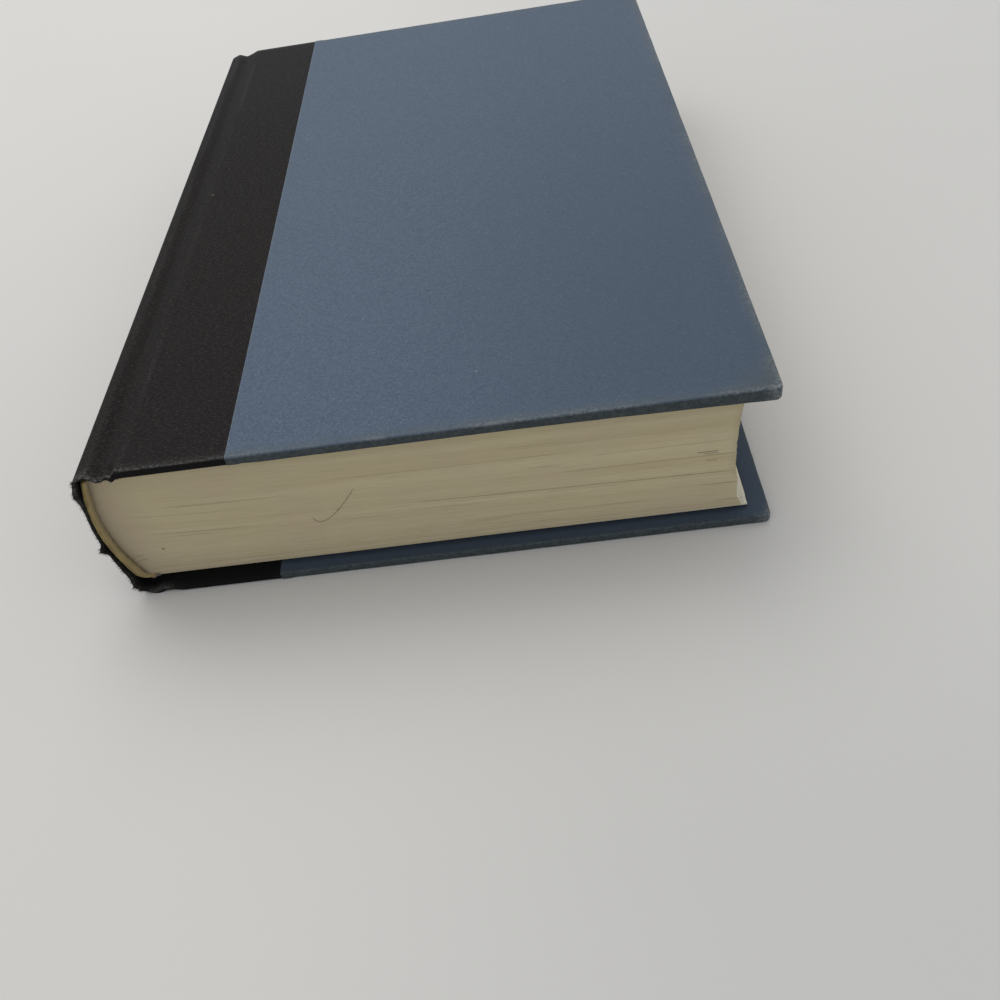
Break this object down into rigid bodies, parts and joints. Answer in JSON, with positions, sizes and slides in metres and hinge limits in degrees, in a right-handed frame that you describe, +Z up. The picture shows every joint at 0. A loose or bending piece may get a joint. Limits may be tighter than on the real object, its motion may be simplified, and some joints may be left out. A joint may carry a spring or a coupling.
{
  "type": "hardback book",
  "caption": "Closed thick hardback book, quarter bound: black cloth spine, slate-blue paper sides, rounded spine, hollow fore-edge and covers that open.",
  "frame": {"origin": "middle of the closed book's footprint, on the surface that it lies on", "axes": "+X from the spine to the fore-edge, +Y from tail to head, +Z up through the front cover"},
  "size_m": [0.1641, 0.241, 0.043],
  "materials": {
    "pages": "cream book paper, trimmed edges",
    "endpaper": "smooth uncoated paper",
    "side_paper": "slate-blue cover paper, fine grain, matte",
    "book_cloth": "black book cloth, fine weave, matte",
    "board": "grey binder's board",
    "card": "plain card",
    "kraft_paper": "kraft paper",
    "gauze": "open gauze, sized",
    "band": "yellow woven band"
  },
  "bodies": {
    "pages": {"text_block": "pages", "spine_mull": "gauze", "spine_lining": "kraft_paper", "tail_band": "band", "head_band": "band", "spine_inlay": "card", "spine_cloth": "book_cloth", "front_flyleaf": "endpaper", "back_flyleaf": "endpaper"},
    "front_cover": {"front_board": "board", "front_cloth": "book_cloth", "front_side_paper": "side_paper", "front_mull": "gauze", "front_pastedown": "endpaper"},
    "back_cover": {"back_board": "board", "back_cloth": "book_cloth", "back_side_paper": "side_paper", "back_mull": "gauze", "back_pastedown": "endpaper"}
  },
  "joints": [
    {"name": "front_joint", "type": "hinge", "parent": "pages", "child": "front_cover", "pos_m": [-0.07505, 0, 0.04185], "axis": [0, -1, 0], "range_deg": [0, 180]},
    {"name": "back_joint", "type": "hinge", "parent": "pages", "child": "back_cover", "pos_m": [-0.07505, 0, 0.00115], "axis": [0, 1, 0], "range_deg": [0, 180]}
  ]
}
